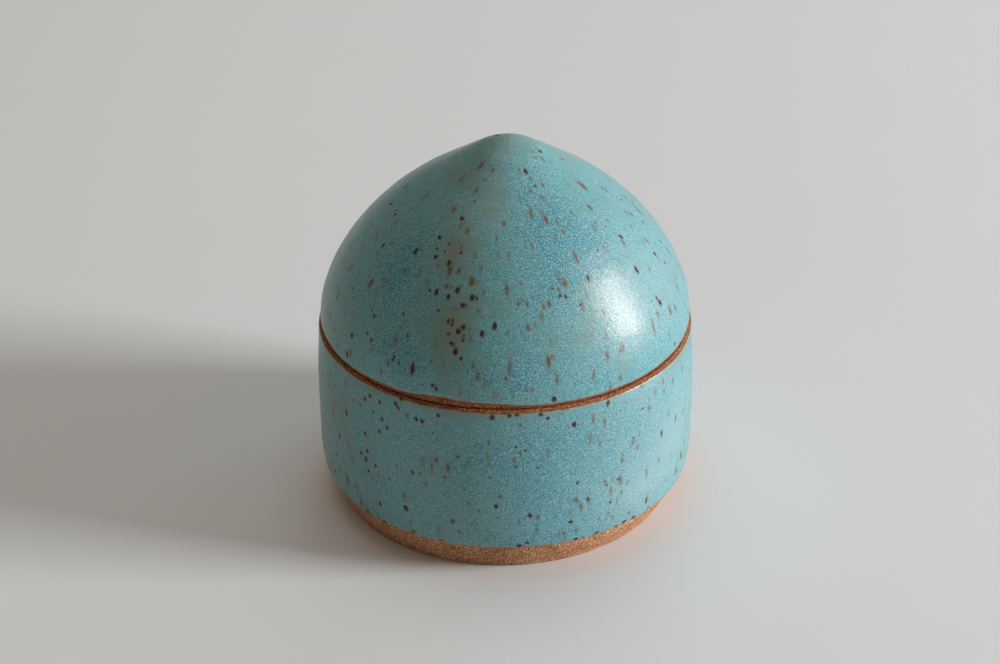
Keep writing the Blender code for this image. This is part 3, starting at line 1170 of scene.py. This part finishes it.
# Azimuth from +X towards -Y and elevation, in degrees; distance and sides in metres; watts in RGB.
# The key light is in two parts: one only shades, and the other only adds gloss.
LIGHTS = {
    "key": (9.0, 13.5, 2.20, (0.64, 0.92), (68.0, 70.0, 72.0), True, False),
    "key_gloss": (8.0, 18.8, 2.20, (0.60, 1.22), (72.0, 57.0, 54.0), False, True),
    "back_fill": (298.6, 27.8, 1.80, (1.92, 1.92), (4.8, 6.6, 7.2)),
    "top": (250.0, 74.5, 1.80, (1.20, 1.20), (5.4, 5.0, 4.8)),
}
CAMERA_PLACE = (-0.00138, -0.52835, 0.35101)
CAMERA_TILT = 59.846
CAMERA_TURN = -0.412
CAMERA_LENS = 82.8
SENSOR_WIDTH = 36.0
NEAREST_SEEN = 0.01


def floor():
    """A plain floor that the foot stands on."""
    corners = [
        (FLOOR_RADIUS * math.sin(turn), FLOOR_RADIUS * math.cos(turn), 0.0)
        for turn in np.linspace(math.tau, 0.0, FLOOR_SIDES, endpoint=False)
    ]
    mesh = bpy.data.meshes.new("floor")
    mesh.from_pydata(corners, [], [list(range(len(corners)))])
    mesh.materials.append(pale_paper())
    made = bpy.data.objects.new("floor", mesh)
    bpy.context.scene.collection.objects.link(made)


def light(name, azimuth, elevation, distance, sides, watts, diffuse=True, glossy=True):
    """A soft rectangle of light that faces the object, for shading, for gloss or for both."""
    lamp = bpy.data.lights.new(name, "AREA")
    lamp.shape = "RECTANGLE"
    lamp.size, lamp.size_y = sides
    lamp.energy = max(watts)
    lamp.color = [share / max(watts) for share in watts]
    turn, rise = math.radians(azimuth), math.radians(elevation)
    towards = Vector((math.cos(turn) * math.cos(rise), -math.sin(turn) * math.cos(rise), math.sin(rise)))
    made = bpy.data.objects.new(name, lamp)
    made.location = Vector(LIGHT_AIM) + towards * distance
    made.rotation_euler = towards.to_track_quat("Z", "Y").to_euler()
    made.visible_camera = False
    made.visible_diffuse = diffuse
    made.visible_glossy = glossy
    bpy.context.scene.collection.objects.link(made)


def surroundings():
    """A faint even light from all sides."""
    world = bpy.data.worlds.new("room")
    world.use_nodes = True
    world.node_tree.nodes["Background"].inputs["Color"].default_value = (*WORLD_COLOR, 1.0)
    bpy.context.scene.world = world


def camera():
    """A camera in front of the jar that looks down on it at about 30 degrees."""
    lens = bpy.data.cameras.new("camera")
    lens.lens = CAMERA_LENS
    lens.sensor_width = SENSOR_WIDTH
    lens.clip_start = NEAREST_SEEN
    made = bpy.data.objects.new("camera", lens)
    tilt = Matrix.Rotation(math.radians(CAMERA_TILT), 4, "X")
    turn = Matrix.Rotation(math.radians(CAMERA_TURN), 4, "Z")
    made.matrix_world = Matrix.Translation(CAMERA_PLACE) @ tilt @ turn
    bpy.context.scene.collection.objects.link(made)
    bpy.context.scene.camera = made


floor()
for light_name, setting in LIGHTS.items():
    light(light_name, *setting)
surroundings()
camera()
bpy.context.scene.view_settings.view_transform = "Standard"
